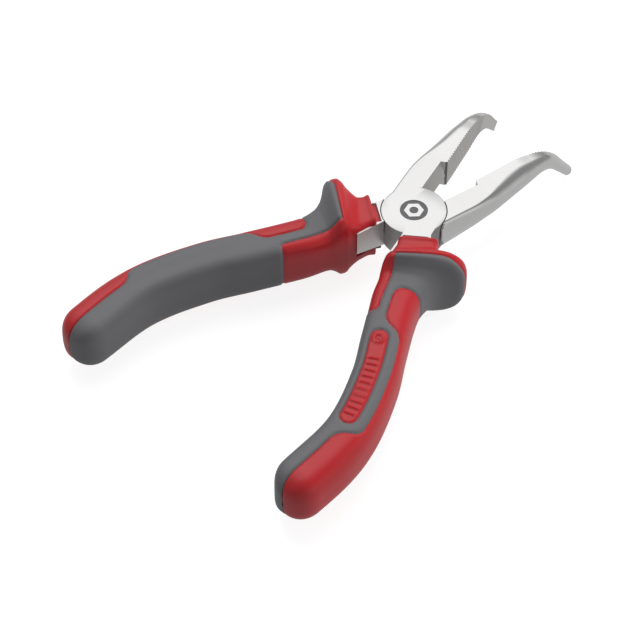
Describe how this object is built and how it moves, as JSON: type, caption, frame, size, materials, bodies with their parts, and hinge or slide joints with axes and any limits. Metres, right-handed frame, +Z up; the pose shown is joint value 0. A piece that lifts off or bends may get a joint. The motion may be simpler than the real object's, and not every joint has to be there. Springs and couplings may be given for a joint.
{
  "type": "bent needle nose pliers",
  "caption": "Bent needle nose pliers with side cutters, a round lap joint and two-component handles with thumb guards, part open.",
  "frame": {"origin": "centre of the joint's underside, on the pivot axis", "axes": "+X along the bisector of the two jaws, from the joint towards the tips; +Z up along the pivot axis, towards the face with the round emblem; the bent tips point down"},
  "size_m": [0.1557, 0.094, 0.023],
  "materials": {
    "polished_steel": "polished, satin on the mating faces",
    "rivet_steel": "ground flush",
    "red_plastic": "satin",
    "grey_rubber": "matte, soft"
  },
  "bodies": {
    "upper_half": {"upper_arm": "polished_steel", "pivot_rivet": "rivet_steel", "upper_grip_core": "red_plastic", "upper_grip_cover": "grey_rubber"},
    "lower_half": {"lower_arm": "polished_steel", "lower_grip_core": "red_plastic", "lower_grip_cover": "grey_rubber"}
  },
  "joints": [
    {"name": "pivot", "type": "hinge", "parent": "upper_half", "child": "lower_half", "pos_m": [0, 0, 0.005], "axis": [0, 0, 1], "range_deg": [-16, 27.5]}
  ]
}
